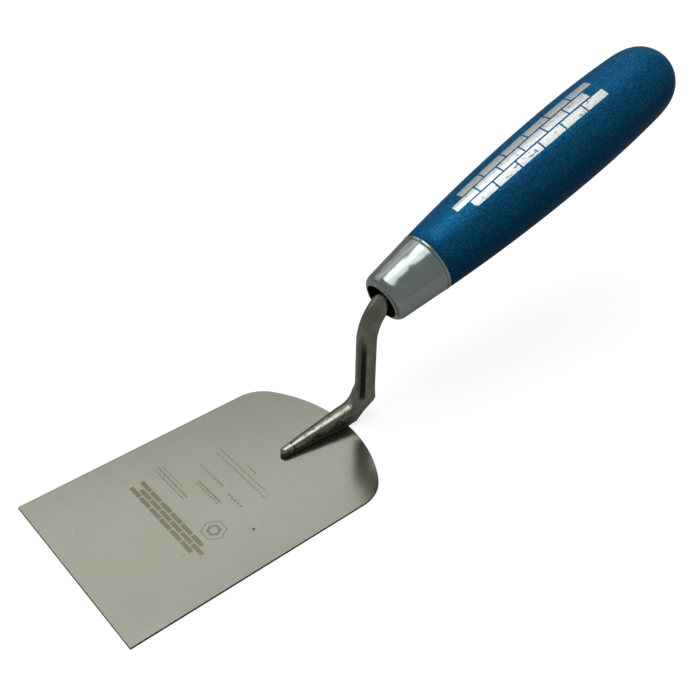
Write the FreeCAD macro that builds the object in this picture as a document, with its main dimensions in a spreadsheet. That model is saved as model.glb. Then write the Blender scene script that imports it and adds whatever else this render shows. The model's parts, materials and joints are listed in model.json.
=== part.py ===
"""Plasterer's square-front trowel: blade, forged neck, foot welds, ferrule and turned handle.

Millimetres, +Z up. The blade lies flat with its underside on Z = 0. The origin is the middle of that
underside, +X runs from the working edge towards the handle, and the tool is symmetric about Y = 0.
The ferrule and the handle are drawn along their own axis, which starts at the ferrule's mouth.
"""

import FreeCAD, Part
import math
import os

import Sketcher
from FreeCAD import Placement, Rotation, Vector

SIZES = {
    "blade_length": 92.7,
    "blade_width": 60,
    "blade_thickness": 0.6,
    "rear_radius": 42.6,
    "corner_radius": 12,
    "tip_rounding": 0.3,
    "weld_radius": 1.1,
    "weld_depth": 0.2,
    "weld_start": 28.5,
    "weld_pitch": 6,
    "bar_radius": 3.1,
    "toe_x": 22.2,
    "toe_height": 1.6,
    "toe_radius": 1.55,
    "heel_height": 2.95,
    "heel_radius": 3.35,
    "riser_x": 54.55,
    "riser_bottom": 12.4,
    "riser_top": 27.75,
    "elbow_bend": 9.4,
    "elbow_start": 20,
    "heel_slope": 37,
    "heel_reach": 12.64,
    "swan_bend": 14,
    "handle_tilt": 19,
    "mouth_inset": 4.5,
    "tang_length": 64,
    "tang_chamfer": 1.2,
    "mouth_radius": 5.7,
    "lip_height": 0.3,
    "nose_length": 3.2,
    "nose_radius": 8.1,
    "ferrule_length": 19,
    "ferrule_radius": 9.85,
    "ferrule_wall": 0.9,
    "bead_width": 0.9,
    "bead_height": 0.08,
    "spigot_start": 4.8,
    "tang_hole_end": 70,
    "belly_station": 87,
    "belly_radius": 13.4,
    "shoulder_station": 112,
    "shoulder_radius": 12.6,
    "butt_radius": 12,
    "handle_length": 127.9,
}
WELD_COUNT = 3
ELBOW_STEPS = 9

# Names for the numbers that sketches use for the ends of a curve, the origin and the two axes.
START, END, CENTRE = 1, 2, 3
ORIGIN = (-1, 1)
ALONG, ACROSS = -1, -2

doc = FreeCAD.newDocument("trowel")
sheet = doc.addObject("Spreadsheet::Sheet", "dims")
for row, (alias, value) in enumerate(SIZES.items(), start=1):
    sheet.set(f"A{row}", alias)
    sheet.set(f"B{row}", str(value))
    sheet.setAlias(f"B{row}", alias)
doc.recompute()


def new_body(label):
    body = doc.addObject("PartDesign::Body", label)
    body.Label = label
    return body


def new_sketch(body, name, role):
    """A sketch on one of the body's own origin planes."""
    sketch = body.newObject("Sketcher::SketchObject", name)
    plane = next(part for part in body.Origin.OriginFeatures if part.Role == role)
    sketch.AttachmentSupport = [(plane, "")]
    sketch.MapMode = "FlatFace"
    return sketch


def new_feature(body, kind, name, sketch):
    feature = body.newObject(kind, name)
    feature.Profile = sketch
    return feature


def round_edges(body, name, formula, is_wanted, kind="Fillet"):
    """Rounds, or chamfers, the edges of the body's last feature that is_wanted picks."""
    doc.recompute()
    base = body.Tip
    edges = [f"Edge{i}" for i, edge in enumerate(base.Shape.Edges, start=1) if is_wanted(edge)]
    feature = body.newObject("PartDesign::" + kind, name)
    feature.Base = (base, edges)
    feature.setExpression("Radius" if kind == "Fillet" else "Size", formula)
    doc.recompute()
    return feature


def rule(sketch, kind, *picks):
    sketch.addConstraint(Sketcher.Constraint(kind, *picks))


def dimension(sketch, kind, formula, *picks):
    """Adds a dimension whose value comes from the sheet."""
    value = float(sketch.evalExpression(formula))
    if kind == "Angle":
        value = math.radians(value)
        formula = f"({formula}) * 1 deg"
    index = sketch.addConstraint(Sketcher.Constraint(kind, *picks, value))
    sketch.setExpression(f"Constraints[{index}]", formula)


def pin(sketch, curve, end, x_formula, y_formula):
    """Holds one end of a curve at a place worked out from the sheet; None keeps it on the axis."""
    if x_formula:
        dimension(sketch, "DistanceX", x_formula, *ORIGIN, curve, end)
    else:
        rule(sketch, "PointOnObject", curve, end, ACROSS)
    if y_formula:
        dimension(sketch, "DistanceY", y_formula, *ORIGIN, curve, end)
    else:
        rule(sketch, "PointOnObject", curve, end, ALONG)


def corner(sketch, formulas):
    """Where a pair of formulas puts a point, used to draw a curve near its final place."""
    x, y = (float(sketch.evalExpression(text)) if text else 0.0 for text in formulas)
    return Vector(x, y, 0)


def draw_lines(sketch, corners):
    """A run of straight lines through pinned corners; returns the number of the first and last."""
    spots = [corner(sketch, formulas) for formulas in corners]
    first = sketch.GeometryCount
    for start, end in zip(spots, spots[1:]):
        sketch.addGeometry(Part.LineSegment(start, end), False)
    last = sketch.GeometryCount - 1
    for curve in range(first, last):
        rule(sketch, "Coincident", curve, END, curve + 1, START)
    for curve, formulas in enumerate(corners[:-1], start=first):
        pin(sketch, curve, START, *formulas)
    pin(sketch, last, END, *corners[-1])
    return first, last


def add_arc(sketch, start, end, radius):
    """An outward-bulging arc between two corners; it starts at the second, as sketches turn left."""
    start, end = corner(sketch, start), corner(sketch, end)
    chord = end - start
    inward = Vector(chord.y, -chord.x, 0).normalize()
    centre = (start + end) / 2 + inward * math.sqrt(radius**2 - (chord.Length / 2) ** 2)
    angles = [math.atan2(spot.y - centre.y, spot.x - centre.x) for spot in (end, start)]
    circle = Part.Circle(centre, Vector(0, 0, 1), radius)
    return sketch.addGeometry(Part.ArcOfCircle(circle, *angles), False)


def set_along_handle(body):
    """Stands a body drawn along the handle's axis on the neck, which its axis meets."""
    body.Placement = Placement(Vector(), Rotation(Vector(0, -1, 0), 1))
    tilt = "dims.handle_tilt * 1 deg"
    bend_x = f"dims.riser_x + dims.swan_bend * (1 - sin({tilt}))"
    bend_z = f"dims.riser_top + dims.swan_bend * cos({tilt})"
    body.setExpression("Placement.Rotation.Angle", tilt)
    body.setExpression("Placement.Base.x", f"{bend_x} - dims.mouth_inset * cos({tilt})")
    body.setExpression("Placement.Base.z", f"{bend_z} - dims.mouth_inset * sin({tilt})")


def make_blade():
    """Sheet blade: square working edge, parallel sides, arched rear edge with rounded corners."""
    body = new_body("blade")
    body.setExpression("Placement.Base.x", "-dims.blade_length / 2")
    outline = new_sketch(body, "blade_outline", "XY_Plane")
    half = "dims.blade_width / 2"
    side_end = (
        "dims.blade_length - dims.rear_radius"
        " + sqrt(dims.rear_radius ^ 2 - (dims.blade_width / 2) ^ 2)"
    )
    lower_rear = (side_end, f"-{half}")
    upper_rear = (side_end, half)
    lines = draw_lines(outline, [upper_rear, (None, half), (None, f"-{half}"), lower_rear])
    centre = corner(outline, ("dims.blade_length - dims.rear_radius", None))
    radius = float(outline.evalExpression("dims.rear_radius"))
    spread = math.atan2(SIZES["blade_width"] / 2, corner(outline, upper_rear).x - centre.x)
    circle = Part.Circle(centre, Vector(0, 0, 1), radius)
    arc = outline.addGeometry(Part.ArcOfCircle(circle, -spread, spread), False)
    rule(outline, "Coincident", arc, START, lines[1], END)
    rule(outline, "Coincident", arc, END, lines[0], START)
    dimension(outline, "Radius", "dims.rear_radius", arc)
    pad = new_feature(body, "PartDesign::Pad", "blade_sheet", outline)
    pad.setExpression("Length", "dims.blade_thickness")

    def is_rear_corner(edge):
        return edge.BoundBox.ZLength > 0.1 and edge.BoundBox.XMin > 1

    round_edges(body, "rear_corners", "dims.corner_radius", is_rear_corner)

    def is_front_corner(edge):
        return edge.BoundBox.ZLength > 0.1 and edge.BoundBox.XMax < 1

    round_edges(body, "front_corners", "dims.tip_rounding", is_front_corner)
    sockets = new_sketch(body, "weld_sockets", "XY_Plane")
    sockets.setExpression("AttachmentOffset.Base.z", "dims.blade_thickness")
    draw_weld_spots(sockets, "dims.blade_length / 2")
    pocket = new_feature(body, "PartDesign::Pocket", "weld_pits", sockets)
    pocket.setExpression("Length", "dims.weld_depth")
    return body


def draw_weld_spots(sketch, shift):
    """Circles in a row under the foot, one for each spot weld."""
    for number in range(WELD_COUNT):
        x_formula = f"{shift} + dims.weld_start + {number} * dims.weld_pitch"
        spot = Part.Circle(corner(sketch, (x_formula, None)), Vector(0, 0, 1), SIZES["weld_radius"])
        curve = sketch.addGeometry(spot, False)
        pin(sketch, curve, CENTRE, x_formula, None)
        dimension(sketch, "Radius", "dims.weld_radius", curve)


def make_foot_welds():
    """Spot-weld nuggets, half in the blade and half in the foot, as one group of separate discs."""
    nuggets = []
    for number in range(WELD_COUNT):
        nugget = doc.addObject("Part::Cylinder", f"weld_nugget_{number + 1}")
        nugget.setExpression("Radius", "dims.weld_radius")
        nugget.setExpression("Height", "2 * dims.weld_depth")
        nugget.setExpression("Placement.Base.x", f"dims.weld_start + {number} * dims.weld_pitch")
        nugget.setExpression("Placement.Base.z", "dims.blade_thickness - dims.weld_depth")
        nuggets.append(nugget)
    group = doc.addObject("Part::Compound", "foot_welds")
    group.Links = nuggets
    group.Label = "foot_welds"
    return group


def draw_disc(body, name, x_formula, z_formula, tilt_formula, radius_formula):
    """A round section of the bar, at a place on the neck's centreline and square to it."""
    sketch = new_sketch(body, name, "YZ_Plane")
    sketch.AttachmentOffset = Placement(Vector(), Rotation(Vector(-1, 0, 0), 1))
    sketch.setExpression("AttachmentOffset.Rotation.Angle", f"({tilt_formula}) * 1 deg")
    sketch.setExpression("AttachmentOffset.Base.y", z_formula)
    sketch.setExpression("AttachmentOffset.Base.z", x_formula)
    curve = sketch.addGeometry(Part.Circle(Vector(), Vector(0, 0, 1), 3), False)
    rule(sketch, "Coincident", curve, CENTRE, *ORIGIN)
    dimension(sketch, "Radius", radius_formula, curve)
    return sketch


def make_neck():
    """One forged bar: a tapered foot, flat underneath, an elbow, a riser, a swan bend and a tang."""
    body = new_body("neck")
    toe_x = "dims.toe_x + dims.toe_radius"
    toe = draw_disc(body, "toe", toe_x, "dims.toe_height", "0", "dims.toe_radius")
    elbow_x = "dims.riser_x - dims.elbow_bend"
    heel = draw_disc(body, "heel", elbow_x, "dims.heel_height", "0", "dims.heel_radius")
    sections = [heel]
    for step in range(ELBOW_STEPS + 1):
        share = f"{step} / {ELBOW_STEPS}"
        tilt = f"(dims.elbow_start + (90 - dims.elbow_start) * {share})"
        # The inner side is a round bend; the outer side is a corner between the riser and the heel.
        inner = "(dims.elbow_bend - dims.bar_radius)"
        riser_back = f"(dims.elbow_bend + dims.bar_radius) / sin({tilt} * 1 deg)"
        heel_back = f"dims.heel_reach / cos(({tilt} - dims.heel_slope) * 1 deg)"
        outer = f"min({riser_back}; {heel_back})"
        x_formula = f"{elbow_x} + ({outer} + {inner}) / 2 * sin({tilt} * 1 deg)"
        z_formula = f"dims.riser_bottom - ({outer} + {inner}) / 2 * cos({tilt} * 1 deg)"
        radius = f"({outer} - {inner}) / 2"
        sections.append(draw_disc(body, f"elbow_{step}", x_formula, z_formula, tilt, radius))
    foot = new_feature(body, "PartDesign::AdditiveLoft", "foot", toe)
    foot.Sections = sections
    foot.Ruled = True

    tip = body.newObject("PartDesign::AdditiveSphere", "toe_tip")
    tip.setExpression("Radius", "dims.toe_radius")
    tip.setExpression("Placement.Base.x", toe_x)
    tip.setExpression("Placement.Base.z", "dims.toe_height")

    riser = draw_disc(body, "riser", "dims.riser_x", "dims.riser_bottom", "90", "dims.bar_radius")
    path = new_sketch(body, "swan_path", "XZ_Plane")
    draw_swan_path(path)
    bar = new_feature(body, "PartDesign::AdditivePipe", "swan_neck", riser)
    bar.Spine = (path, [])

    def is_tang_end(edge):
        return edge.BoundBox.XMin > SIZES["riser_x"] + SIZES["tang_length"] / 2

    round_edges(body, "tang_end", "dims.tang_chamfer", is_tang_end, kind="Chamfer")

    flat = new_sketch(body, "underside", "XZ_Plane")
    low = "dims.blade_thickness - 2 * dims.heel_radius"
    edge = "dims.riser_x + 2 * dims.bar_radius"
    top = "dims.blade_thickness"
    draw_lines(flat, [(None, low), (edge, low), (edge, top), (None, top), (None, low)])
    cut = new_feature(body, "PartDesign::Pocket", "flat_underside", flat)
    cut.Type = "ThroughAll"
    cut.Midplane = True

    sockets = new_sketch(body, "weld_sockets", "XY_Plane")
    sockets.setExpression("AttachmentOffset.Base.z", "dims.blade_thickness")
    draw_weld_spots(sockets, "0")
    pits = new_feature(body, "PartDesign::Pocket", "weld_pits", sockets)
    pits.Reversed = True
    pits.setExpression("Length", "dims.weld_depth")
    return body


def draw_swan_path(path):
    """The bar's centreline: up the riser, round the swan bend and along the handle."""
    bottom = corner(path, ("dims.riser_x", "dims.riser_bottom"))
    top = corner(path, ("dims.riser_x", "dims.riser_top"))
    tilt = math.radians(SIZES["handle_tilt"])
    bend = SIZES["swan_bend"]
    centre = top + Vector(bend, 0, 0)
    joint = centre + Vector(-math.sin(tilt), math.cos(tilt), 0) * bend
    tip = joint + Vector(math.cos(tilt), math.sin(tilt), 0) * SIZES["tang_length"]
    riser = path.addGeometry(Part.LineSegment(bottom, top), False)
    circle = Part.Circle(centre, Vector(0, 0, 1), bend)
    arc = path.addGeometry(Part.ArcOfCircle(circle, math.pi / 2 + tilt, math.pi), False)
    tang = path.addGeometry(Part.LineSegment(joint, tip), False)
    pin(path, riser, START, "dims.riser_x", "dims.riser_bottom")
    rule(path, "Vertical", riser)
    rule(path, "Tangent", riser, END, arc, END)
    rule(path, "Tangent", arc, START, tang, START)
    dimension(path, "Distance", "dims.riser_top - dims.riser_bottom", riser)
    dimension(path, "Radius", "dims.swan_bend", arc)
    dimension(path, "Angle", "dims.handle_tilt", tang)
    dimension(path, "Distance", "dims.tang_length", tang)


def revolve(body, name, sketch):
    feature = new_feature(body, "PartDesign::Revolution", name, sketch)
    feature.ReferenceAxis = (sketch, ["H_Axis"])
    feature.Angle = 360
    return feature


CONE_SLOPE = (
    "(dims.ferrule_radius - dims.nose_radius) / (dims.ferrule_length - dims.nose_length)"
)


def cone_radius(station):
    """The ferrule's outside radius at a distance from its mouth, behind the rounded nose."""
    return f"dims.nose_radius + {CONE_SLOPE} * ({station} - dims.nose_length)"


def bore_radius(station):
    return f"{cone_radius(station)} - dims.ferrule_wall"


def make_ferrule():
    """Drawn steel cap: a cone with a turned-in nose around its mouth and a bead at its rear edge."""
    body = new_body("ferrule")
    set_along_handle(body)
    section = new_sketch(body, "ferrule_section", "XZ_Plane")
    bead = "dims.ferrule_length - dims.bead_width"
    lip = (None, "dims.mouth_radius + dims.lip_height")
    nose = ("dims.nose_length", "dims.nose_radius")
    corners = [
        nose,
        (bead, cone_radius(bead)),
        (bead, f"{cone_radius(bead)} + dims.bead_height"),
        ("dims.ferrule_length", "dims.ferrule_radius + dims.bead_height"),
        ("dims.ferrule_length", bore_radius("dims.ferrule_length")),
        ("dims.nose_length", bore_radius("dims.nose_length")),
        ("dims.ferrule_wall", "dims.mouth_radius"),
        (None, "dims.mouth_radius"),
        lip,
    ]
    first, last = draw_lines(section, corners)
    round_nose = add_arc(section, lip, nose, 4)
    rule(section, "Coincident", round_nose, END, last, END)
    rule(section, "Tangent", round_nose, START, first, START)
    revolve(body, "ferrule_shell", section)
    return body


def make_handle():
    """Turned wooden handle: spigot inside the ferrule, long belly, domed butt and a hole for the tang."""
    body = new_body("handle")
    set_along_handle(body)
    section = new_sketch(body, "handle_section", "XZ_Plane")
    corners = [
        ("dims.handle_length", None),
        ("dims.tang_hole_end", None),
        ("dims.tang_hole_end", "dims.bar_radius"),
        ("dims.spigot_start", "dims.bar_radius"),
        ("dims.spigot_start", bore_radius("dims.spigot_start")),
        ("dims.ferrule_length", bore_radius("dims.ferrule_length")),
        ("dims.ferrule_length", "dims.ferrule_radius"),
    ]
    first, last = draw_lines(section, corners)
    belly_top = ("dims.belly_station", "dims.belly_radius")
    shoulder_top = ("dims.shoulder_station", "dims.shoulder_radius")
    dome_top = ("dims.handle_length - 0.8 * dims.butt_radius", "0.98 * dims.butt_radius")
    front = add_arc(section, corners[-1], belly_top, 700)
    rear = add_arc(section, belly_top, shoulder_top, 400)
    shoulder = add_arc(section, shoulder_top, dome_top, 46)
    dome = add_arc(section, dome_top, corners[0], SIZES["butt_radius"])
    rule(section, "Coincident", front, END, last, END)
    pin(section, front, START, "dims.belly_station", "dims.belly_radius")
    dimension(section, "DistanceX", "dims.belly_station", *ORIGIN, front, CENTRE)
    rule(section, "Coincident", rear, END, front, START)
    dimension(section, "DistanceX", "dims.belly_station", *ORIGIN, rear, CENTRE)
    pin(section, rear, START, "dims.shoulder_station", "dims.shoulder_radius")
    rule(section, "Tangent", rear, START, shoulder, END)
    rule(section, "Tangent", shoulder, START, dome, END)
    rule(section, "Coincident", dome, START, first, START)
    rule(section, "PointOnObject", dome, CENTRE, ALONG)
    dimension(section, "Radius", "dims.butt_radius", dome)
    revolve(body, "turning", section)
    return body


parts = [make_blade(), make_neck(), make_foot_welds(), make_ferrule(), make_handle()]
doc.recompute()

for item in doc.Objects:
    if {"Invalid", "Error"} & set(item.State):
        raise RuntimeError(f"{item.Label} failed: {item.State}")
for part in parts:
    if part.Shape.isNull() or not part.Shape.isValid():
        raise RuntimeError(f"{part.Label} has no valid shape")
os.makedirs("parts", exist_ok=True)
for part in parts:
    part.Shape.exportStep(f"parts/{part.Label}.step")
    print(part.Label, len(part.Shape.Solids), "solids", round(part.Shape.Volume, 1), "mm3")
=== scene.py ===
"""Square-front trowel: steel blade, forged neck, zinc-plated ferrule and painted wooden handle."""

import json
import math

import bpy
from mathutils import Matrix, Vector


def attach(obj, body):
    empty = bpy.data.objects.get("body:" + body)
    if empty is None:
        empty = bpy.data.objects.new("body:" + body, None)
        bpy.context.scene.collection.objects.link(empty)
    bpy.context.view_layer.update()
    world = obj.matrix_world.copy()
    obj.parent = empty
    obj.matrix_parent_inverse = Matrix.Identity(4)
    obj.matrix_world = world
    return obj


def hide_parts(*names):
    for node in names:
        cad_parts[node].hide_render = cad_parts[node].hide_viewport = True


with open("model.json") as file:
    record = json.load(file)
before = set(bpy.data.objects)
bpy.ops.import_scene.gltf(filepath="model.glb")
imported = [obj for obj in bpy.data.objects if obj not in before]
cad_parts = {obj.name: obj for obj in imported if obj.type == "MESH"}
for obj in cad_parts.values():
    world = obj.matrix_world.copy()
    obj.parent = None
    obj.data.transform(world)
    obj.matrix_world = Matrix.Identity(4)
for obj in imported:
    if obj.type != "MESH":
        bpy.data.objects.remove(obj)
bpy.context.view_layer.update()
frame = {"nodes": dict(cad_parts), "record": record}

MM = 0.001

# The handle's axis comes from its grip mount, and starts in the plane of the ferrule's mouth.
grip = next(m for m in frame["record"]["mounts"] if m["name"] == "handle_grip")
GRIP_POINT = Vector(grip["pos_m"])
ALONG = Vector(grip["axis"]).normalized()
ferrule_points = [v.co for v in frame["nodes"]["ferrule"].data.vertices]
MOUTH = GRIP_POINT + ALONG * min((p - GRIP_POINT).dot(ALONG) for p in ferrule_points)
TILT = math.atan2(ALONG.z, ALONG.x)

# Blade, millimetres.
BLADE_HALF_LENGTH = 46.35
BLADE_HALF_WIDTH = 30
BLADE_THICKNESS = 0.6
REAR_RADIUS = 42.6
CORNER_RADIUS = 12
TIP_RADIUS = 0.3
EDGE_BREAK = 0.12
REAR_STEPS = 48
CORNER_STEPS = 16
TIP_STEPS = 6

# Neck: toe, heel, elbow, riser, swan bend and tang, millimetres.
BAR_RADIUS = 3.1
TOE_RADIUS = 1.55
TOE_CENTRE = Vector((23.75, 0, 1.6))
HEEL_CENTRE = Vector((45.15, 0, 2.95))
HEEL_RADIUS = 3.35
RISER_X = 54.55
RISER_BOTTOM = 12.4
RISER_TOP = 27.75
ELBOW_BEND = 9.4
ELBOW_START = math.radians(20)
HEEL_SLOPE = math.radians(37)
HEEL_REACH = 12.64
SWAN_BEND = 14
TANG_LENGTH = 64
TANG_CHAMFER = 1.2
NECK_SIDES = 48
TOE_STEPS = 8
FOOT_STEPS = 12
ELBOW_STEPS = 14
RISER_STEPS = 8
SWAN_STEPS = 12
TANG_STEPS = 8

# Ferrule and handle, radii at distances from the mouth, millimetres.
MOUTH_RADIUS = 5.7
LIP_GAP = 0.12
FERRULE_LENGTH = 19
FERRULE_WALL = 0.9
FERRULE_RADIUS = 9.85
NOSE_LENGTH = 3.2
NOSE_RADIUS = 8.1
BEAD_LENGTH = 0.9
BEAD_HEIGHT = 0.08
SPIGOT_START = 4.8
TANG_HOLE_END = 70
BELLY = (87, 13.4)
SHOULDER = (112, 12.6)
BUTT_RADIUS = 12
BUTT_JOIN_ANGLE = 16
HANDLE_LENGTH = 127.9
TURNED_SIDES = 128
BELLY_STEPS = 22
TAPER_STEPS = 8
SHOULDER_STEPS = 6
SMALLEST_RADIUS = 0.001

# Etched marks on the blade, millimetres: places are (X, Y), bars are (X, Y, half width, half length).
STRIP_PLACE = (-16.6, 1.4)
RULE_PLACE = (-2.0, 1.3)
RULE_HALF_LENGTH = 5.6
TICK_DROP = 0.7
HEXAGON_PLACE = (-9.4, -11.4)
HEXAGON_RINGS = ((3.1, 0.16), (1.5, 0.4))
BARS = (
    (-9.4, 11.2, 0.28, 7.6), (-8.2, 11.4, 0.4, 7.9), (-7.0, 12.6, 0.22, 5.0),
    (2.0, 6.4, 0.4, 5.7), (1.4, -5.8, 0.4, 3.4),
    (8.5, 1.5, 0.25, 12.6), (10.2, 2.6, 0.25, 11.3), (12.2, 1.3, 0.25, 2.5),
)
NICK_PLACE = (-0.8, -17.9, BLADE_THICKNESS)

# Marks of wear, a painted highlight and a painted dark reflection on the neck, and foil on the handle,
# millimetres and degrees.
STAIN_PLACE = (42, -3.2, 3.4)
CREASE_X = 26.1
PAINTED_HIGHLIGHT_ANGLE = 20
PAINTED_REFLECTION_ANGLE = -144
FOIL_MIDDLE = 66.5
FOIL_ANGLE = -3.5
ARC_PER_DEGREE = 0.2297

# Studio, metres and degrees.
MIDDLE = Vector((0.04, 0, 0.02))
LIGHT_DISTANCE = 1.3
COOL = (0.97, 1, 1)
WARM = (1, 0.985, 0.93)
LENS = 51.76
SENSOR_WIDTH = 36
CAMERA_PLACE = (-0.10454, -0.1736, 0.20523)
CAMERA_TURN = (52.551, -1.021, -40.404)


# ---------------------------------------------------------------- shaping

def begin(name, add_primitive, **values):
    """Adds a primitive at its size and place with nothing else selected, and opens it for editing."""
    bpy.ops.object.select_all(action="DESELECT")
    add_primitive(**values)
    piece = bpy.context.object
    piece.name = piece.data.name = name
    bpy.ops.object.transform_apply(location=True, rotation=True, scale=True)
    bpy.ops.object.mode_set(mode="EDIT")
    bpy.ops.mesh.select_all(action="SELECT")
    return piece


def end(piece, sharp_angle):
    """Closes the piece: doubles merged, faces turned outwards, smooth where it is not sharp."""
    bpy.ops.mesh.select_all(action="SELECT")
    bpy.ops.mesh.remove_doubles(threshold=0.001 * MM)
    bpy.ops.mesh.normals_make_consistent(inside=False)
    bpy.ops.object.mode_set(mode="OBJECT")
    bpy.ops.object.shade_smooth_by_angle(angle=math.radians(sharp_angle))
    return piece


def extrude(travel):
    bpy.ops.mesh.extrude_region_move(TRANSFORM_OT_translate={"value": travel})


def pen_line(travel):
    """Draws a straight edge from the selected vertex."""
    bpy.ops.mesh.extrude_vertices_move(TRANSFORM_OT_translate={"value": Vector(travel) * MM})


def pen_arc(centre, degrees, steps):
    """Draws an arc from the selected vertex, anticlockwise from above; spin turns the other way."""
    bpy.ops.mesh.spin(
        steps=steps, angle=-math.radians(degrees), center=Vector(centre) * MM, axis=(0, 0, 1)
    )


def select_edges(piece, is_wanted):
    """Selects the edges whose two ends pass a test on their places, in millimetres."""
    bpy.ops.mesh.select_mode(type="EDGE")
    bpy.ops.mesh.select_all(action="DESELECT")
    bpy.ops.object.mode_set(mode="OBJECT")
    places = [v.co / MM for v in piece.data.vertices]
    for edge in piece.data.edges:
        edge.select = is_wanted(*(places[i] for i in edge.vertices))
    bpy.ops.object.mode_set(mode="EDIT")


def shares(count):
    """The fractions of a run at the ends of its equal steps, the last one 1."""
    return [step / count for step in range(1, count + 1)]


def on_axis(station):
    """The point of the handle's axis at a distance in millimetres from the mouth."""
    return MOUTH + ALONG * station * MM


def turn(name, profile, first_face="NOTHING"):
    """A turned piece: one ring carried along the handle's axis through (station, radius) pairs."""
    first, radius = profile[0]
    piece = begin(
        name,
        bpy.ops.mesh.primitive_circle_add,
        vertices=TURNED_SIDES,
        radius=radius * MM,
        fill_type=first_face,
        location=on_axis(first),
        rotation=(0, math.pi / 2 - TILT, 0),
    )
    for (here, radius), (there, next_radius) in zip(profile, profile[1:]):
        extrude(ALONG * (there - here) * MM)
        growth = max(next_radius, SMALLEST_RADIUS) / radius
        bpy.ops.transform.resize(value=(growth,) * 3, center_override=on_axis(there))
        if next_radius == 0:
            bpy.ops.mesh.merge(type="CENTER")
    return piece


def arc_stations(start, top, radius_at, count):
    """Evenly spaced (station, radius) pairs on a curve given by a function."""
    stations = [start + (top - start) * share for share in shares(count)]
    return [(station, radius_at(station)) for station in stations]


def bend_radius(crown, far):
    """Radius of the arc that crests at crown and passes through far, both (station, radius)."""
    run, drop = far[0] - crown[0], crown[1] - far[1]
    return (run**2 + drop**2) / (2 * drop)


def bulge(crown, far):
    """Gives the handle's radius at a station on that arc."""
    bend = bend_radius(crown, far)
    return lambda station: crown[1] - bend + math.sqrt(bend**2 - (station - crown[0]) ** 2)


# ---------------------------------------------------------------- blade

def make_blade():
    """Sheet blade drawn as an outline, given its thickness and a fine break along every edge."""
    rear_centre = BLADE_HALF_LENGTH - REAR_RADIUS
    inner = BLADE_HALF_WIDTH - CORNER_RADIUS
    reach = REAR_RADIUS - CORNER_RADIUS
    corner_x = rear_centre + math.sqrt(reach**2 - inner**2)
    rear_half_angle = math.degrees(math.asin(inner / reach))
    tip_x = TIP_RADIUS - BLADE_HALF_LENGTH
    tip_y = BLADE_HALF_WIDTH - TIP_RADIUS
    blade = begin(
        "blade_sheet",
        bpy.ops.mesh.primitive_plane_add,
        size=MM,
        location=(tip_x * MM, -BLADE_HALF_WIDTH * MM, 0),
    )
    bpy.ops.mesh.merge(type="CENTER")
    pen_line((corner_x - tip_x, 0, 0))
    pen_arc((corner_x, -inner, 0), 90 - rear_half_angle, CORNER_STEPS)
    pen_arc((rear_centre, 0, 0), 2 * rear_half_angle, REAR_STEPS)
    pen_arc((corner_x, inner, 0), 90 - rear_half_angle, CORNER_STEPS)
    pen_line((tip_x - corner_x, 0, 0))
    pen_arc((tip_x, tip_y, 0), 90, TIP_STEPS)
    pen_line((0, -2 * tip_y, 0))
    pen_arc((tip_x, -tip_y, 0), 90, TIP_STEPS)
    bpy.ops.mesh.select_all(action="SELECT")
    bpy.ops.mesh.remove_doubles(threshold=0.01 * MM)
    bpy.ops.mesh.edge_face_add()
    extrude((0, 0, BLADE_THICKNESS * MM))
    select_edges(blade, lambda a, b: abs(a.z - b.z) < 0.01)
    bpy.ops.mesh.bevel(offset=EDGE_BREAK * MM, segments=2, affect="EDGES")
    return end(blade, 20)


# ---------------------------------------------------------------- neck

def foot_stops():
    """The rounded toe, then the foot's straight taper up to the heel."""
    stops = []
    for share in shares(TOE_STEPS):
        angle = math.radians(90 * share)
        back = Vector((TOE_RADIUS * math.cos(angle), 0, 0))
        stops.append((TOE_CENTRE - back, 0, TOE_RADIUS * math.sin(angle)))
    for share in shares(FOOT_STEPS):
        radius = TOE_RADIUS + (HEEL_RADIUS - TOE_RADIUS) * share
        stops.append((TOE_CENTRE.lerp(HEEL_CENTRE, share), 0, radius))
    return stops


def elbow_stops():
    """A round bend on the inner side, and on the outer side a corner between the riser and the heel."""
    centre = Vector((RISER_X - ELBOW_BEND, 0, RISER_BOTTOM))
    inner = ELBOW_BEND - BAR_RADIUS
    stops = []
    for share in [0, *shares(ELBOW_STEPS)]:
        tilt = ELBOW_START + (math.pi / 2 - ELBOW_START) * share
        riser_side = (ELBOW_BEND + BAR_RADIUS) / math.sin(tilt)
        heel_side = HEEL_REACH / math.cos(tilt - HEEL_SLOPE)
        outer = min(riser_side, heel_side)
        out = Vector((math.sin(tilt), 0, -math.cos(tilt))) * (outer + inner) / 2
        stops.append((centre + out, tilt, (outer - inner) / 2))
    return stops


def shank_stops():
    """The upright riser, the swan bend over to the handle's axis, and the tang."""
    stops = []
    for share in shares(RISER_STEPS):
        height = RISER_BOTTOM + (RISER_TOP - RISER_BOTTOM) * share
        stops.append((Vector((RISER_X, 0, height)), math.pi / 2, BAR_RADIUS))
    centre = Vector((RISER_X + SWAN_BEND, 0, RISER_TOP))
    for share in shares(SWAN_STEPS):
        tilt = math.pi / 2 + (TILT - math.pi / 2) * share
        out = Vector((-math.sin(tilt), 0, math.cos(tilt))) * SWAN_BEND
        stops.append((centre + out, tilt, BAR_RADIUS))
    joint = stops[-1][0]
    for share in shares(TANG_STEPS):
        stops.append((joint + ALONG * (TANG_LENGTH - TANG_CHAMFER) * share, TILT, BAR_RADIUS))
    stops.append((joint + ALONG * TANG_LENGTH, TILT, BAR_RADIUS - TANG_CHAMFER))
    return stops


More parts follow.
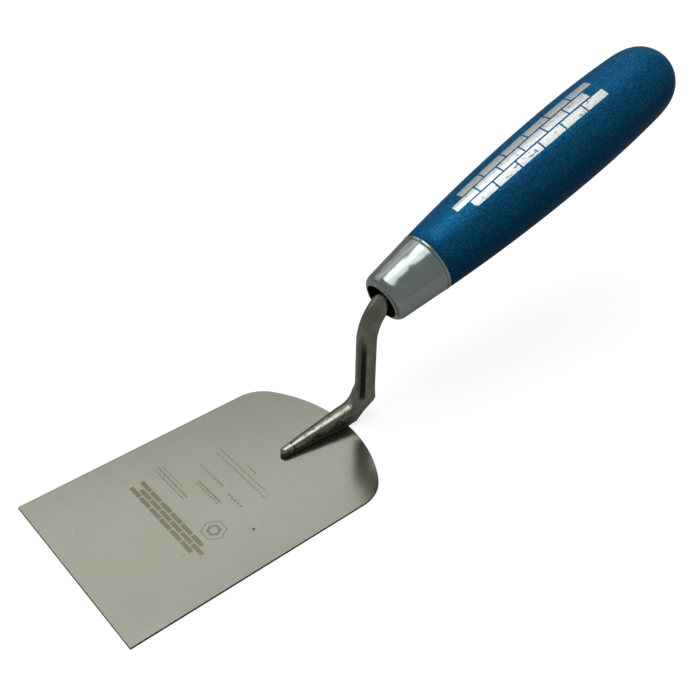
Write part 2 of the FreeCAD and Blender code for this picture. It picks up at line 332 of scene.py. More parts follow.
def make_neck():
    """Forged bar: a ring carried through (centre, tilt, radius) stops, then ground flat underneath."""
    stops = foot_stops() + elbow_stops() + shank_stops()
    centre, tilt, radius = stops[0]
    neck = begin(
        "neck_forging",
        bpy.ops.mesh.primitive_circle_add,
        vertices=NECK_SIDES,
        radius=radius * MM,
        fill_type="NGON",
        location=centre * MM,
        rotation=(0, math.pi / 2, 0),
    )
    for (here, old_tilt, old_radius), (there, new_tilt, new_radius) in zip(stops, stops[1:]):
        extrude((there - here) * MM)
        if new_tilt != old_tilt:
            bpy.ops.transform.rotate(
                value=new_tilt - old_tilt, orient_axis="Y", center_override=there * MM
            )
        growth = new_radius / old_radius
        bpy.ops.transform.resize(value=(growth,) * 3, center_override=there * MM)
    bpy.ops.mesh.select_all(action="SELECT")
    bpy.ops.mesh.bisect(
        plane_co=(0, 0, BLADE_THICKNESS * MM),
        plane_no=(0, 0, 1),
        use_fill=True,
        clear_inner=True,
        threshold=0.001 * MM,
    )
    return end(neck, 40)


# ---------------------------------------------------------------- ferrule and handle

def cone_radius(station):
    slope = (FERRULE_RADIUS - NOSE_RADIUS) / (FERRULE_LENGTH - NOSE_LENGTH)
    return NOSE_RADIUS + slope * (station - NOSE_LENGTH)


def make_ferrule():
    """Drawn cap: rolled lip round the mouth, rounded nose, long cone and a fine bead at the rear."""
    lip = MOUTH_RADIUS + LIP_GAP
    rim = [(0, lip), (0.02, lip + 0.12), (0.12, lip + 0.26), (0.3, lip + 0.3)]
    nose_start, nose_inner = 0.36, lip + 0.36
    nose = [
        (nose_start + (NOSE_LENGTH - nose_start) * (1 - math.cos(math.radians(angle))),
         nose_inner + (NOSE_RADIUS - nose_inner) * math.sin(math.radians(angle)))
        for angle in range(0, 90, 10)
    ]
    cone = [(station, cone_radius(station)) for station in (NOSE_LENGTH, *range(4, 18))]
    bead = FERRULE_LENGTH - BEAD_LENGTH
    rear = [
        (bead - 0.25, cone_radius(bead - 0.25)),
        (bead - 0.1, cone_radius(bead) - 0.12),
        (bead + 0.05, cone_radius(bead) + 0.01),
        (bead + 0.25, cone_radius(bead) + BEAD_HEIGHT),
        (FERRULE_LENGTH - 0.15, FERRULE_RADIUS + BEAD_HEIGHT),
        (FERRULE_LENGTH, FERRULE_RADIUS - 0.05),
        (FERRULE_LENGTH, FERRULE_RADIUS - FERRULE_WALL),
        (NOSE_LENGTH, NOSE_RADIUS - FERRULE_WALL),
        (FERRULE_WALL, MOUTH_RADIUS + 0.1),
        (0.5, MOUTH_RADIUS),
        (0.2, MOUTH_RADIUS + 0.05),
        (0, lip),
    ]
    ferrule = turn("ferrule_cap", rim + nose + cone + rear)
    return end(ferrule, 50)


def make_handle():
    """Turned handle: tang hole, spigot inside the ferrule, long belly, shoulder and domed butt."""
    front = bulge(BELLY, (FERRULE_LENGTH, FERRULE_RADIUS))
    rear = bulge(BELLY, SHOULDER)
    dome_centre = HANDLE_LENGTH - BUTT_RADIUS
    dome = [
        (dome_centre + BUTT_RADIUS * math.sin(math.radians(angle)),
         BUTT_RADIUS * math.cos(math.radians(angle)))
        for angle in range(BUTT_JOIN_ANGLE, 90, 4)
    ]
    profile = [
        (TANG_HOLE_END, BAR_RADIUS),
        (SPIGOT_START, BAR_RADIUS),
        (SPIGOT_START, cone_radius(SPIGOT_START) - FERRULE_WALL),
        (FERRULE_LENGTH, FERRULE_RADIUS - FERRULE_WALL),
        (FERRULE_LENGTH, FERRULE_RADIUS - 0.1),
        (FERRULE_LENGTH + 0.1, FERRULE_RADIUS),
    ]
    profile += arc_stations(FERRULE_LENGTH + 0.1, BELLY[0], front, BELLY_STEPS)
    profile += arc_stations(BELLY[0], SHOULDER[0], rear, TAPER_STEPS)
    profile += shoulder_stations(dome[0])
    profile += dome + [(HANDLE_LENGTH, 0)]
    handle = turn("handle_turning", profile, first_face="NGON")
    return end(handle, 40)


def shoulder_stations(dome_start):
    """The rounding between the rear taper and the dome, as a smooth blend of their slopes."""
    run = dome_start[0] - SHOULDER[0]
    taper_slope = -(SHOULDER[0] - BELLY[0]) / bend_radius(BELLY, SHOULDER)
    dome_slope = -math.tan(math.radians(BUTT_JOIN_ANGLE))
    stations = []
    for share in shares(SHOULDER_STEPS)[:-1]:
        radius = (
            (2 * share**3 - 3 * share**2 + 1) * SHOULDER[1]
            + (share**3 - 2 * share**2 + share) * run * taper_slope
            + (3 * share**2 - 2 * share**3) * dome_start[1]
            + (share**3 - share**2) * run * dome_slope
        )
        stations.append((SHOULDER[0] + run * share, radius))
    return stations


# ---------------------------------------------------------------- finishes: wiring

class Wiring:
    """A node tree being wired, with short calls for the nodes that come up most."""

    def __init__(self, tree):
        self.tree = tree

    def add(self, kind, inputs=(), **settings):
        """Adds a node; each input is a fixed value or the socket that feeds it."""
        node = self.tree.nodes.new(kind)
        for name, value in settings.items():
            setattr(node, name, value)
        for name, value in dict(inputs).items():
            self.feed(node.inputs[name], value)
        return node

    def feed(self, socket, value):
        if isinstance(value, bpy.types.NodeSocket):
            self.tree.links.new(value, socket)
        else:
            socket.default_value = value

    def math(self, operation, first, second=0.0, clamp=False):
        node = self.add("ShaderNodeMath", {0: first, 1: second}, operation=operation)
        node.use_clamp = clamp
        return node.outputs[0]

    def total(self, base, *terms):
        """A base value plus every (mask, weight) pair of the terms."""
        for mask, weight in terms:
            base = self.math("ADD", base, self.math("MULTIPLY", mask, weight))
        return base

    def distance_from(self, value, middle):
        return self.math("ABSOLUTE", self.math("SUBTRACT", value, middle))

    def axes(self, place):
        """The X, Y and Z of a place."""
        return self.add("ShaderNodeSeparateXYZ", {0: place}).outputs

    def squeezed(self, place, share):
        """A place with its X made shorter, which draws a pattern out along X."""
        scale = self.add("ShaderNodeCombineXYZ", {"X": share, "Y": 1.0, "Z": 1.0}).outputs[0]
        node = self.add("ShaderNodeMapping", {"Vector": place, "Scale": scale})
        return node.outputs["Vector"]

    def bump(self, height, strength, depth):
        """A surface that rises and falls with a height, by up to a depth in millimetres."""
        node = self.add(
            "ShaderNodeBump", {"Height": height, "Strength": strength, "Distance": depth * MM}
        )
        return node.outputs[0]

    def ramp(self, value, low, high, low_out=0.0, high_out=1.0):
        """Smoothly maps low..high onto low_out..high_out, held at both ends."""
        node = self.add(
            "ShaderNodeMapRange",
            {"Value": value, "From Min": low, "From Max": high, "To Min": low_out,
             "To Max": high_out},
            interpolation_type="SMOOTHSTEP",
        )
        return node.outputs[0]

    def tint(self, share, first, second):
        """Blends two colours, each a fixed colour or a socket."""
        node = self.add("ShaderNodeMix", data_type="RGBA")
        for slot, value in ((0, share), (6, first), (7, second)):
            if isinstance(value, tuple):
                value = (*value, 1)
            self.feed(node.inputs[slot], value)
        return node.outputs[2]

    def place(self, group, **inputs):
        """Places a shared group; underscores in the names stand for spaces."""
        node = self.add("ShaderNodeGroup", node_tree=group)
        for name, value in inputs.items():
            self.feed(node.inputs[name.replace("_", " ")], value)
        return node.outputs


def new_group(name, inputs, outputs):
    """An empty group with named sockets; returns its wiring, its input sockets and its output node."""
    tree = bpy.data.node_groups.new(name, "ShaderNodeTree")
    for label, default in inputs.items():
        kind = "NodeSocketVector" if default is None else "NodeSocketFloat"
        socket = tree.interface.new_socket(label, in_out="INPUT", socket_type=kind)
        if default is not None:
            socket.default_value = default
    for label in outputs:
        tree.interface.new_socket(label, in_out="OUTPUT", socket_type="NodeSocketFloat")
    wiring = Wiring(tree)
    return wiring, wiring.add("NodeGroupInput").outputs, wiring.add("NodeGroupOutput").inputs


def new_material(name, **constants):
    """A material whose shader has the given fixed values; underscores stand for spaces."""
    material = bpy.data.materials.new(name)
    material.use_nodes = True
    wiring = Wiring(material.node_tree)
    shader = material.node_tree.nodes["Principled BSDF"].inputs
    for label, value in constants.items():
        shader[label.replace("_", " ")].default_value = value
    return material, wiring, shader


def millimetres(wiring):
    """The piece's own coordinates in millimetres."""
    source = wiring.add("ShaderNodeTexCoord").outputs["Object"]
    return wiring.add(
        "ShaderNodeMapping", {"Vector": source, "Scale": (1 / MM,) * 3}
    ).outputs["Vector"]


def handle_millimetres(wiring):
    """Millimetres in the handle's own frame: X from the mouth along the axis, Z up across it."""
    source = wiring.add("ShaderNodeTexCoord").outputs["Object"]
    turned = wiring.add(
        "ShaderNodeMapping",
        {"Vector": source, "Location": MOUTH, "Rotation": (0, -TILT, 0), "Scale": (MM,) * 3},
        vector_type="TEXTURE",
    )
    return turned.outputs["Vector"]


# ---------------------------------------------------------------- finishes: shared effects

def make_clouds():
    """Soft cloudy variation, Size millimetres across and Stretch times longer along X."""
    wiring, given, out = new_group(
        "clouds", {"Place": None, "Size": 5.0, "Stretch": 1.0, "Detail": 3.0}, ["Shade"]
    )
    place = wiring.squeezed(given["Place"], wiring.math("DIVIDE", 1.0, given["Stretch"]))
    noise = wiring.add(
        "ShaderNodeTexNoise",
        {"Vector": place, "Scale": wiring.math("DIVIDE", 1.0, given["Size"]),
         "Detail": given["Detail"]},
    )
    wiring.feed(out["Shade"], wiring.ramp(noise.outputs["Fac"], 0.3, 0.7))
    return wiring.tree


def make_specks():
    """Scattered specks or pits: Size millimetres apart, more of them as Share goes from 0 to 1."""
    wiring, given, out = new_group(
        "specks", {"Place": None, "Size": 1.0, "Share": 0.3, "Stretch": 1.0}, ["Mask"]
    )
    place = wiring.squeezed(given["Place"], wiring.math("DIVIDE", 1.0, given["Stretch"]))
    noise = wiring.add(
        "ShaderNodeTexNoise",
        {"Vector": place, "Scale": wiring.math("DIVIDE", 1.0, given["Size"]), "Detail": 2.0,
         "Roughness": 0.6},
    ).outputs["Fac"]
    level = wiring.total(0.78, (given["Share"], -0.5))
    wiring.feed(out["Mask"], wiring.ramp(wiring.math("SUBTRACT", noise, level), -0.03, 0.05))
    return wiring.tree


def make_hairlines():
    """Fine polishing lines along X."""
    wiring, given, out = new_group("hairlines", {"Place": None, "Spacing": 0.25}, ["Height"])
    place = wiring.squeezed(given["Place"], 0.05)
    fine = wiring.math("DIVIDE", 1.0, given["Spacing"])
    noise = wiring.add("ShaderNodeTexNoise", {"Vector": place, "Scale": fine, "Detail": 4.0})
    wiring.feed(out["Height"], noise.outputs["Fac"])
    return wiring.tree


def make_window():
    """1 inside a rectangle, falling to 0 over Soft millimetres at its edges."""
    wiring, given, out = new_group(
        "window",
        {"U": 0.0, "V": 0.0, "Middle U": 0.0, "Middle V": 0.0, "Half U": 1.0, "Half V": 1.0,
         "Soft": 0.1},
        ["Mask"],
    )
    sides = []
    for axis in "UV":
        off = wiring.distance_from(given[axis], given[f"Middle {axis}"])
        inside = wiring.math("SUBTRACT", given[f"Half {axis}"], off)
        sides.append(wiring.math("DIVIDE", inside, given["Soft"], clamp=True))
    wiring.feed(out["Mask"], wiring.math("MULTIPLY", *sides))
    return wiring.tree


def make_wall():
    """A strip of running-bond brickwork with toothed ends, centred on U 0 and V 0."""
    wiring, given, out = new_group(
        "wall",
        {"U": 0.0, "V": 0.0, "Brick": 6.0, "Course": 2.0, "Joint": 0.4, "Bricks": 5.0,
         "Courses": 3.0},
        ["Mask"],
    )
    half_courses = wiring.math("MULTIPLY", given["Courses"], 0.5)
    row = wiring.math("ADD", wiring.math("DIVIDE", given["V"], given["Course"]), half_courses)
    row_number = wiring.math("FLOOR", row)
    slip = wiring.math("MULTIPLY", wiring.math("MODULO", row_number, 2.0), 0.5)
    half_bricks = wiring.math("MULTIPLY", given["Bricks"], 0.5)
    along = wiring.math("DIVIDE", given["U"], given["Brick"])
    along = wiring.math("ADD", wiring.math("ADD", along, slip), half_bricks)
    mask = None
    for position, count, length in (
        (row, given["Courses"], given["Course"]),
        (along, given["Bricks"], given["Brick"]),
    ):
        centred = wiring.distance_from(wiring.math("FRACT", position), 0.5)
        gap = wiring.math("MULTIPLY", wiring.math("SUBTRACT", 0.5, centred), length)
        face = wiring.math("SUBTRACT", gap, wiring.math("MULTIPLY", given["Joint"], 0.5))
        face = wiring.math("MULTIPLY", face, 12.0, clamp=True)
        started = wiring.math("GREATER_THAN", position, 0.0)
        ended = wiring.math("LESS_THAN", position, count)
        face = wiring.math("MULTIPLY", face, wiring.math("MULTIPLY", started, ended))
        mask = face if mask is None else wiring.math("MULTIPLY", mask, face)
    wiring.feed(out["Mask"], mask)
    return wiring.tree


def make_wrap():
    """Unrolls a turned piece: Station along the axis, Angle round it from the top, in degrees."""
    wiring, given, out = new_group("wrap", {"Place": None}, ["Station", "Angle"])
    parts = wiring.axes(given["Place"])
    angle = wiring.math("ARCTAN2", parts["Y"], parts["Z"])
    wiring.feed(out["Station"], parts["X"])
    wiring.feed(out["Angle"], wiring.math("DEGREES", angle))
    return wiring.tree


CLOUDS = make_clouds()
SPECKS = make_specks()
HAIRLINES = make_hairlines()
WINDOW = make_window()
WALL = make_wall()
WRAP = make_wrap()


# ---------------------------------------------------------------- finishes: the trowel's own

def any_of(wiring, masks):
    """The strongest of several masks."""
    total = masks[0]
    for mask in masks[1:]:
        total = wiring.math("MAXIMUM", total, mask)
    return total


def etched_window(wiring, x, y, middle, half_width, half_length):
    """A rectangle on the blade, its length across it, with its middle at an (X, Y) place."""
    return wiring.place(
        WINDOW, U=y, V=x, Middle_U=middle[1], Middle_V=middle[0], Half_U=half_length,
        Half_V=half_width, Soft=0.1,
    )["Mask"]


def etched_marks(wiring, x, y, place):
    """Generic etching: a strip of brickwork, thin bars, a short rule and a hexagon.

    Returns the mask of the strong marks and the mask of the faint ones.
    """
    strip = wiring.place(
        WALL,
        U=wiring.math("SUBTRACT", y, STRIP_PLACE[1]),
        V=wiring.math("SUBTRACT", x, STRIP_PLACE[0]),
        Brick=5.2, Course=1.75, Joint=0.32, Bricks=6.0, Courses=3.0,
    )["Mask"]
    rule = etched_window(wiring, x, y, RULE_PLACE, 0.2, RULE_HALF_LENGTH)
    tick_place = (RULE_PLACE[0] - TICK_DROP, RULE_PLACE[1])
    ticks = etched_window(wiring, x, y, tick_place, 0.75, RULE_HALF_LENGTH)
    tick = wiring.math("LESS_THAN", wiring.distance_from(wiring.math("FRACT", y), 0.5), 0.16)
    strong = [strip, rule, wiring.math("MULTIPLY", ticks, tick)]

    broken = wiring.place(CLOUDS, Place=place, Size=0.7, Stretch=0.35, Detail=1.0)["Shade"]
    broken = wiring.ramp(broken, 0.25, 0.5)
    faint = [hexagon_ring(wiring, x, y)]
    for bar_x, bar_y, half_width, half_length in BARS:
        bar = etched_window(wiring, x, y, (bar_x, bar_y), half_width, half_length)
        faint.append(wiring.math("MULTIPLY", bar, broken))
    return any_of(wiring, strong), any_of(wiring, faint)


def hexagon_ring(wiring, x, y):
    """Two nested hexagon outlines on the blade."""
    across = wiring.distance_from(x, HEXAGON_PLACE[0])
    along = wiring.distance_from(y, HEXAGON_PLACE[1])
    slope = wiring.total(0.0, (across, 0.5), (along, 0.866))
    reach = wiring.math("MAXIMUM", across, slope)
    rings = []
    for radius, half in HEXAGON_RINGS:
        off = wiring.distance_from(reach, radius)
        rings.append(wiring.ramp(off, half - 0.08, half + 0.08, 1.0, 0.0))
    return any_of(wiring, rings)


def spot(wiring, place, centre, radius, soft):
    """A soft round mask at a place on or in the piece, in millimetres."""
    distance = wiring.add("ShaderNodeVectorMath", {0: place, 1: centre}, operation="DISTANCE")
    return wiring.ramp(distance.outputs["Value"], radius - soft, radius + soft, 1.0, 0.0)


def blade_steel():
    """Bright rolled stainless steel with faint clouding, hairlines, handling marks and etching."""
    material, wiring, shader = new_material("blade_steel", Metallic=1.0)
    place = millimetres(wiring)
    parts = wiring.axes(place)
    upper_face = wiring.ramp(parts["Z"], BLADE_THICKNESS / 2, BLADE_THICKNESS - 0.1)
    strong, faint = (
        wiring.math("MULTIPLY", mask, upper_face)
        for mask in etched_marks(wiring, parts["X"], parts["Y"], place)
    )
    broad = wiring.place(CLOUDS, Place=place, Size=26.0, Detail=1.0)["Shade"]
    fine = wiring.place(CLOUDS, Place=place, Size=3.0, Detail=4.0)["Shade"]
    color = wiring.tint(broad, (0.605, 0.59, 0.52), (0.625, 0.61, 0.545))
    color = wiring.tint(wiring.math("MULTIPLY", fine, 0.05), color, (0.5, 0.49, 0.43))
    color = wiring.tint(strong, color, (0.36, 0.335, 0.26))
    color = wiring.tint(wiring.math("MULTIPLY", faint, 0.8), color, (0.33, 0.31, 0.25))
    pocks = wiring.place(SPECKS, Place=place, Size=2.4, Share=0.12)["Mask"]
    nick = spot(wiring, place, NICK_PLACE, 0.45, 0.15)
    marks = wiring.math("MAXIMUM", wiring.math("MULTIPLY", pocks, 0.25), nick)
    wiring.feed(shader["Base Color"], wiring.tint(marks, color, (0.22, 0.2, 0.16)))
    lines = wiring.place(HAIRLINES, Place=place, Spacing=0.35)["Height"]
    rough = wiring.total(0.16, (fine, 0.015), (lines, 0.04), (strong, 0.2), (faint, 0.16))
    wiring.feed(shader["Roughness"], rough)
    relief = wiring.total(0.0, (strong, -1.0), (nick, -2.0), (lines, 0.08))
    wiring.feed(shader["Normal"], wiring.bump(relief, 0.35, 0.02))
    return material


def painted_dark_edge():
    """The blade's cut edges: rough steel painted nearly black as a painted dark reflection, with the
    marks of the shear running through it.
    """
    material, wiring, shader = new_material("painted_dark_edge", Metallic=1.0)
    place = millimetres(wiring)
    tear = wiring.place(CLOUDS, Place=place, Size=0.4, Detail=4.0)["Shade"]
    # Painted dark reflection: the edge's colour itself is nearly black.
    color = wiring.tint(tear, (0.012, 0.012, 0.01), (0.05, 0.05, 0.045))
    wiring.feed(shader["Base Color"], color)
    wiring.feed(shader["Roughness"], wiring.ramp(tear, 0.0, 1.0, 0.35, 0.55))
    wiring.feed(shader["Normal"], wiring.bump(tear, 0.5, 0.05))
    return material


def foot_painted_light(wiring, place):
    """A painted highlight along the foot, a little to the side of its crest, and painted shade on its
    flanks down to the blade.
    """
    parts = wiring.axes(place)
    climb = (HEEL_CENTRE.z - TOE_CENTRE.z) / (HEEL_CENTRE.x - TOE_CENTRE.x)
    centre = wiring.math("MULTIPLY", wiring.math("SUBTRACT", parts["X"], TOE_CENTRE.x), climb)
    height = wiring.math("SUBTRACT", wiring.math("SUBTRACT", parts["Z"], TOE_CENTRE.z), centre)
    angle = wiring.math("DEGREES", wiring.math("ARCTAN2", parts["Y"], height))
    on_foot = wiring.ramp(parts["X"], 50.0, 44.0)
    # The painted highlight: lighter colour in a band at a fixed angle round the foot, where a lamp's
    # reflection falls.
    off = wiring.distance_from(angle, -PAINTED_HIGHLIGHT_ANGLE)
    line = wiring.math("MULTIPLY", wiring.ramp(off, 5.0, 16.0, 1.0, 0.0), on_foot)
    # The painted shade: black on both flanks, low down towards the blade.
    patchy = wiring.place(CLOUDS, Place=place, Size=1.2, Stretch=3.0, Detail=3.0)["Shade"]
    reach = wiring.total(wiring.math("ABSOLUTE", angle), (patchy, 30.0))
    return line, wiring.math("MULTIPLY", wiring.ramp(reach, 55.0, 95.0), on_foot)


def riser_painted_reflection(wiring, place):
    """A dark reflection painted as a black streak up one side of the riser."""
    parts = wiring.axes(place)
    angle = wiring.math("ARCTAN2", parts["Y"], wiring.math("SUBTRACT", parts["X"], RISER_X))
    off = wiring.distance_from(wiring.math("DEGREES", angle), PAINTED_REFLECTION_ANGLE)
    streak = wiring.ramp(off, 8.0, 20.0, 1.0, 0.0)
    streak = wiring.math("MULTIPLY", streak, wiring.ramp(parts["Z"], 7.5, 9.5))
    return wiring.math("MULTIPLY", streak, wiring.ramp(parts["Z"], 31.0, 24.0))


def forged_steel():
    """Drop-forged bar: smooth olive-grey mill surface, brown and pitted foot, polished toe, with a
    painted highlight along the foot, painted shade on its flanks and a painted dark reflection up the
    riser.
    """
    material, wiring, shader = new_material("forged_steel", Metallic=1.0)
    place = millimetres(wiring)
    along = wiring.axes(place)["X"]
    cloud = wiring.place(CLOUDS, Place=place, Size=3.5, Detail=2.0)["Shade"]
    grain = wiring.place(CLOUDS, Place=place, Size=0.3, Detail=3.0)["Shade"]
    color = wiring.tint(cloud, (0.37, 0.36, 0.305), (0.49, 0.47, 0.4))
    foot = wiring.math("MULTIPLY", wiring.ramp(along, 52.0, 47.0), wiring.ramp(along, 25.8, 26.4))
    scale = wiring.place(CLOUDS, Place=place, Size=1.5, Stretch=2.5, Detail=4.0)["Shade"]
    scale = wiring.math("MULTIPLY", scale, foot)
    color = wiring.tint(wiring.math("MULTIPLY", scale, 0.55), color, (0.24, 0.19, 0.1))
    pits = wiring.place(SPECKS, Place=place, Size=0.6, Share=0.3, Stretch=2.2)["Mask"]
    pits = wiring.math("MULTIPLY", pits, wiring.total(0.1, (foot, 0.8)))
    color = wiring.tint(wiring.math("MULTIPLY", pits, 0.85), color, (0.03, 0.025, 0.015))
    crease = wiring.ramp(wiring.distance_from(along, CREASE_X), 0.1, 0.3, 1.0, 0.0)
    stain = wiring.math(
        "SUBTRACT",
        spot(wiring, place, STAIN_PLACE, 1.7, 0.3),
        spot(wiring, place, STAIN_PLACE, 1.2, 0.3),
        clamp=True,
    )
    # The crease, the stain, and the painted dark reflection up the riser.
    dark = any_of(wiring, [crease, stain, riser_painted_reflection(wiring, place)])
    color = wiring.tint(wiring.math("MULTIPLY", dark, 0.88), color, (0.03, 0.025, 0.015))
    # Painted light on the foot: a painted highlight along it, and painted shade in black on its flanks.
    wear_and_painted_highlight, black = foot_painted_light(wiring, place)
    color = wiring.tint(wiring.math("MULTIPLY", black, 0.85), color, (0.05, 0.043, 0.028))
    toe = wiring.math(
        "MULTIPLY", wiring.ramp(along, 26.0, 25.6), wiring.math("SUBTRACT", 1.0, black)
    )
    # The polished toe, and the painted highlight along the foot in the same light colour.
    color = wiring.tint(wiring.math("MAXIMUM", toe, wear_and_painted_highlight), color, (0.62, 0.6, 0.53))
    wiring.feed(shader["Base Color"], color)
    wiring.feed(shader["Roughness"], wiring.total(0.2, (grain, 0.04), (pits, 0.25)))
    sunk = wiring.math("MAXIMUM", pits, crease)
    relief = wiring.total(0.0, (cloud, 0.7), (grain, 0.06), (sunk, -0.7))
    wiring.feed(shader["Normal"], wiring.bump(relief, 0.8, 0.05))
    return material


def zinc_plate():
    """Bright zinc plate on the ferrule, with faint spangle, the marks of handling and painted shade in
    the groove before the bead.
    """
    material, wiring, shader = new_material("zinc_plate", Metallic=1.0)
    place = handle_millimetres(wiring)
    cloud = wiring.place(CLOUDS, Place=place, Size=5.0, Stretch=1.4, Detail=0.6)["Shade"]
    fine = wiring.place(CLOUDS, Place=place, Size=0.6, Detail=3.0)["Shade"]
    color = wiring.tint(cloud, (0.58, 0.65, 0.635), (0.65, 0.715, 0.7))
    pits = wiring.place(SPECKS, Place=place, Size=1.1, Share=0.1)["Mask"]
    station = wiring.axes(place)["X"]
    # Painted shade: a dark line in the groove in front of the rear bead.
    groove_station = FERRULE_LENGTH - BEAD_LENGTH - 0.1
    groove_painted_shade = wiring.ramp(wiring.distance_from(station, groove_station), 0.05, 0.2, 1.0, 0.0)
    color = wiring.tint(wiring.math("MULTIPLY", groove_painted_shade, 0.8), color, (0.2, 0.23, 0.22))
    wiring.feed(shader["Base Color"], wiring.tint(pits, color, (0.3, 0.34, 0.33)))
    wiring.feed(shader["Roughness"], wiring.total(0.15, (fine, 0.03), (cloud, 0.03)))
    wiring.feed(shader["Normal"], wiring.bump(wiring.total(cloud, (pits, -0.3)), 1.0, 0.15))
    return material


def painted_wood():
    """Blue paint over open-grained turned wood, with a silver foil strip of brickwork that shows wear,
    and painted shade on the spigot inside the ferrule.
    """
    material, wiring, shader = new_material(
        "painted_wood", Specular_IOR_Level=0.06, Specular_Tint=(0.1, 0.5, 0.9, 1.0)
    )
    place = handle_millimetres(wiring)
    wrap = wiring.place(WRAP, Place=place)
    grain = wiring.place(CLOUDS, Place=place, Size=0.42, Stretch=3.2, Detail=4.0)["Shade"]
    pores = wiring.place(SPECKS, Place=place, Size=0.5, Share=0.42, Stretch=4.0)["Mask"]
    broad = wiring.place(CLOUDS, Place=place, Size=9.0, Stretch=3.0, Detail=2.0)["Shade"]
    paint = wiring.tint(grain, (0.002, 0.14, 0.37), (0.02, 0.23, 0.52))
    paint = wiring.tint(wiring.math("MULTIPLY", broad, 0.3), paint, (0.001, 0.16, 0.34))
    paint = wiring.tint(wiring.math("MULTIPLY", pores, 0.3), paint, (0.0, 0.07, 0.18))
    flecks = wiring.place(SPECKS, Place=place, Size=0.34, Share=0.5, Stretch=3.0)["Mask"]
    paint = wiring.tint(wiring.math("MULTIPLY", flecks, 0.4), paint, (0.08, 0.42, 0.75))
    # Painted shade: the spigot inside the ferrule, seen through the mouth, is painted nearly black.
    spigot = wiring.ramp(wrap["Station"], FERRULE_LENGTH - 0.1, FERRULE_LENGTH - 0.3)
    paint = wiring.tint(spigot, paint, (0.012, 0.01, 0.008))

    around = wiring.math("SUBTRACT", wrap["Angle"], FOIL_ANGLE)
    foil = wiring.place(
        WALL,
        U=wiring.math("SUBTRACT", wrap["Station"], FOIL_MIDDLE),
        V=wiring.math("MULTIPLY", around, ARC_PER_DEGREE),
        Brick=9.8, Course=3.45, Joint=0.5, Bricks=6.0, Courses=3.0,
    )["Mask"]
    flakes = wiring.place(SPECKS, Place=place, Size=0.7, Share=0.3, Stretch=2.5)["Mask"]
    wear_and_painted_highlight = wiring.math("MULTIPLY", flakes, wiring.ramp(wrap["Angle"], -6.0, -26.0, 0.45, 1.0))
    foil = wiring.math("MULTIPLY", foil, wiring.math("SUBTRACT", 1.0, wear_and_painted_highlight))
    silver = wiring.tint(grain, (0.88, 0.88, 0.87), (0.97, 0.97, 0.96))
    wiring.feed(shader["Base Color"], wiring.tint(foil, paint, silver))
    wiring.feed(shader["Metallic"], wiring.ramp(foil, 0.0, 1.0, 0.26, 0.8))
    wiring.feed(shader["Roughness"], wiring.total(0.21, (grain, 0.08), (pores, 0.1)))
    relief = wiring.total(grain, (pores, -0.8))
    relief = wiring.math("MULTIPLY", relief, wiring.ramp(foil, 0.0, 1.0, 1.0, 0.35))
    wiring.feed(shader["Normal"], wiring.bump(relief, 0.7, 0.035))
    return material


def weld_metal():
    """Spot-weld nuggets: greyed, heat-tinted steel."""
    material, wiring, shader = new_material("weld_metal", Metallic=1.0)
    place = millimetres(wiring)
    tint = wiring.place(CLOUDS, Place=place, Size=0.8)["Shade"]
    color = wiring.tint(tint, (0.25, 0.24, 0.23), (0.34, 0.25, 0.17))
    wiring.feed(shader["Base Color"], color)
    wiring.feed(shader["Roughness"], wiring.ramp(tint, 0.0, 1.0, 0.35, 0.55))
    wiring.feed(shader["Normal"], wiring.bump(tint, 0.4, 0.05))
    return material


def dress(piece, slot, materials, *nodes):
    """Gives a piece its finish; the slot is not used. A piece that stands for CAD nodes joins the root
    body, and those nodes are hidden.
    """
    piece.data.materials.clear()
    for material in materials:
        piece.data.materials.append(material)
    if nodes:
        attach(piece, "root")
        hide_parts(*nodes)


def darken_edges(blade):
    """The second finish, painted nearly black as a dark reflection, goes on the blade's upright faces.
    """
    for face in blade.data.polygons:
        face.material_index = 0 if abs(face.normal.z) > 0.97 else 1


# ---------------------------------------------------------------- studio

def softbox(name, azimuth, elevation, half_width, half_height, radiance, color, shape="RECTANGLE"):
    """A softbox as bright as a white card of that radiance; its place and reach are in degrees.

    Azimuths turn from +Y towards +X, seen from the trowel.
    """
    turn_by, rise = math.radians(azimuth), math.radians(elevation)
    level = Vector((math.sin(turn_by), math.cos(turn_by), 0))
    away = level * math.cos(rise) + Vector((0, 0, math.sin(rise)))
    data = bpy.data.lights.new(name, "AREA")
    data.shape = shape
    data.size = 2 * LIGHT_DISTANCE * math.tan(math.radians(half_width))
    data.size_y = 2 * LIGHT_DISTANCE * math.tan(math.radians(half_height))
    fill = math.pi / 4 if shape == "ELLIPSE" else 1
    data.energy = radiance * math.pi * data.size * data.size_y * fill
    data.color = color
    lamp = bpy.data.objects.new(name, data)
    bpy.context.scene.collection.objects.link(lamp)
    lamp.location = MIDDLE + away * LIGHT_DISTANCE
    lamp.rotation_euler = (-away).to_track_quat("-Z", "Y").to_euler()
    lamp.visible_camera = False
    return lamp


def set_room():
    """A grey room in the reflections, dark to scattered light; the camera sees a pale backdrop."""
    world = bpy.data.worlds.new("studio")
    bpy.context.scene.world = world
    world.use_nodes = True
    wiring = Wiring(world.node_tree)
    shade = world.node_tree.nodes["Background"]
    path = wiring.add("ShaderNodeLightPath").outputs
    color = wiring.tint(path["Is Glossy Ray"], (0.05, 0.05, 0.05), (0.165, 0.18, 0.17))
    color = wiring.tint(path["Is Camera Ray"], color, (0.95, 0.95, 0.95))
    wiring.feed(shade.inputs["Color"], color)


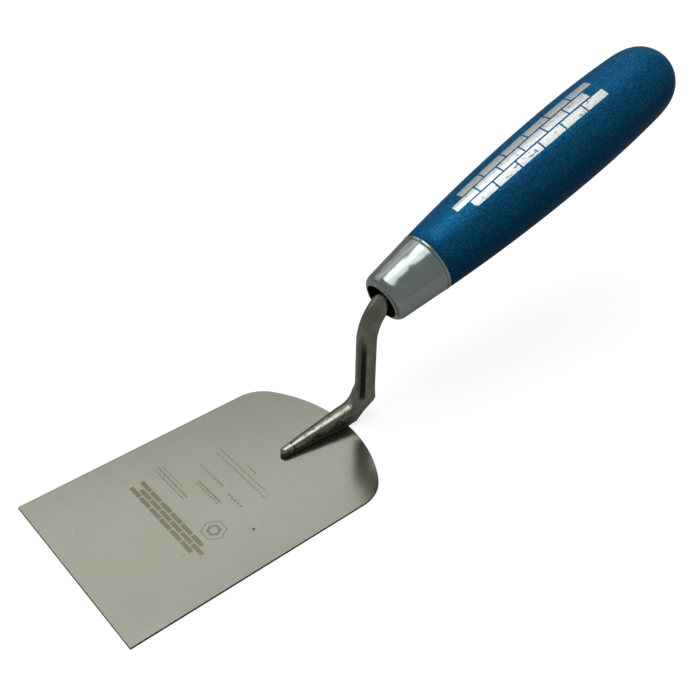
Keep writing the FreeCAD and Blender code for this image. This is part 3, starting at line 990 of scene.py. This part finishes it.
def set_floor():
    """A pale floor with a faint shadow: grey in the reflections, nearly black to scattered light."""
    bpy.ops.object.select_all(action="DESELECT")
    bpy.ops.mesh.primitive_plane_add(size=6, location=(0, 0, 0))
    floor = bpy.context.object
    floor.name = "floor"
    material = bpy.data.materials.new("pale_floor")
    material.use_nodes = True
    nodes = material.node_tree.nodes
    nodes.remove(nodes["Principled BSDF"])
    wiring = Wiring(material.node_tree)
    path = wiring.add("ShaderNodeLightPath").outputs
    paint = wiring.tint(path["Is Camera Ray"], (0.35, 0.36, 0.35), (0.6, 0.6, 0.6))
    paint = wiring.tint(path["Is Diffuse Ray"], paint, (0.02, 0.02, 0.02))
    lit = wiring.add("ShaderNodeBsdfDiffuse", {"Color": paint})
    glow = wiring.tint(path["Is Glossy Ray"], (0.0, 0.0, 0.0), (0.075, 0.077, 0.074))
    glow = wiring.tint(path["Is Camera Ray"], glow, (0.84, 0.84, 0.84))
    lift = wiring.add("ShaderNodeEmission", {"Color": glow})
    pale = wiring.add("ShaderNodeAddShader", {0: lit.outputs[0], 1: lift.outputs[0]})
    wiring.feed(nodes["Material Output"].inputs["Surface"], pale.outputs[0])
    floor.data.materials.append(material)


def set_studio():
    """Round softboxes overhead, and a broad dim wall behind the trowel with a brighter strip."""
    bpy.context.scene.view_settings.view_transform = "Standard"
    set_room()
    set_floor()
    softbox("overhead", 20, 81, 26, 25, 0.95, COOL, "ELLIPSE")
    softbox("overhead_core", 0, 74, 15, 13, 0.7, COOL, "ELLIPSE")
    # Lights the paint from straight over the handle without showing in the metal.
    fill = softbox("paint_fill", -90, 71, 12, 12, 1.6, (1, 1, 1), "ELLIPSE")
    fill.visible_glossy = False
    softbox("back_wall", 20, 39, 50, 16, 0.24, WARM)
    softbox("back_strip", 20, 47, 30, 5, 0.25, WARM, "ELLIPSE")


def set_camera():
    """A short telephoto view from the front left, looking down along the blade."""
    data = bpy.data.cameras.new("camera")
    camera = bpy.data.objects.new("camera", data)
    bpy.context.scene.collection.objects.link(camera)
    bpy.context.scene.camera = camera
    data.lens = LENS
    data.sensor_width = SENSOR_WIDTH
    data.clip_start = 0.01
    camera.location = CAMERA_PLACE
    camera.rotation_euler = [math.radians(angle) for angle in CAMERA_TURN]


set_camera()
set_studio()
blade = make_blade()
dress(blade, "blade_steel", [blade_steel(), painted_dark_edge()], "blade")
darken_edges(blade)
dress(make_neck(), "forged_steel", [forged_steel()], "neck")
dress(make_ferrule(), "zinc_plate", [zinc_plate()], "ferrule")
dress(make_handle(), "painted_wood", [painted_wood()], "handle")
dress(frame["nodes"]["foot_welds"], "weld_metal", [weld_metal()])
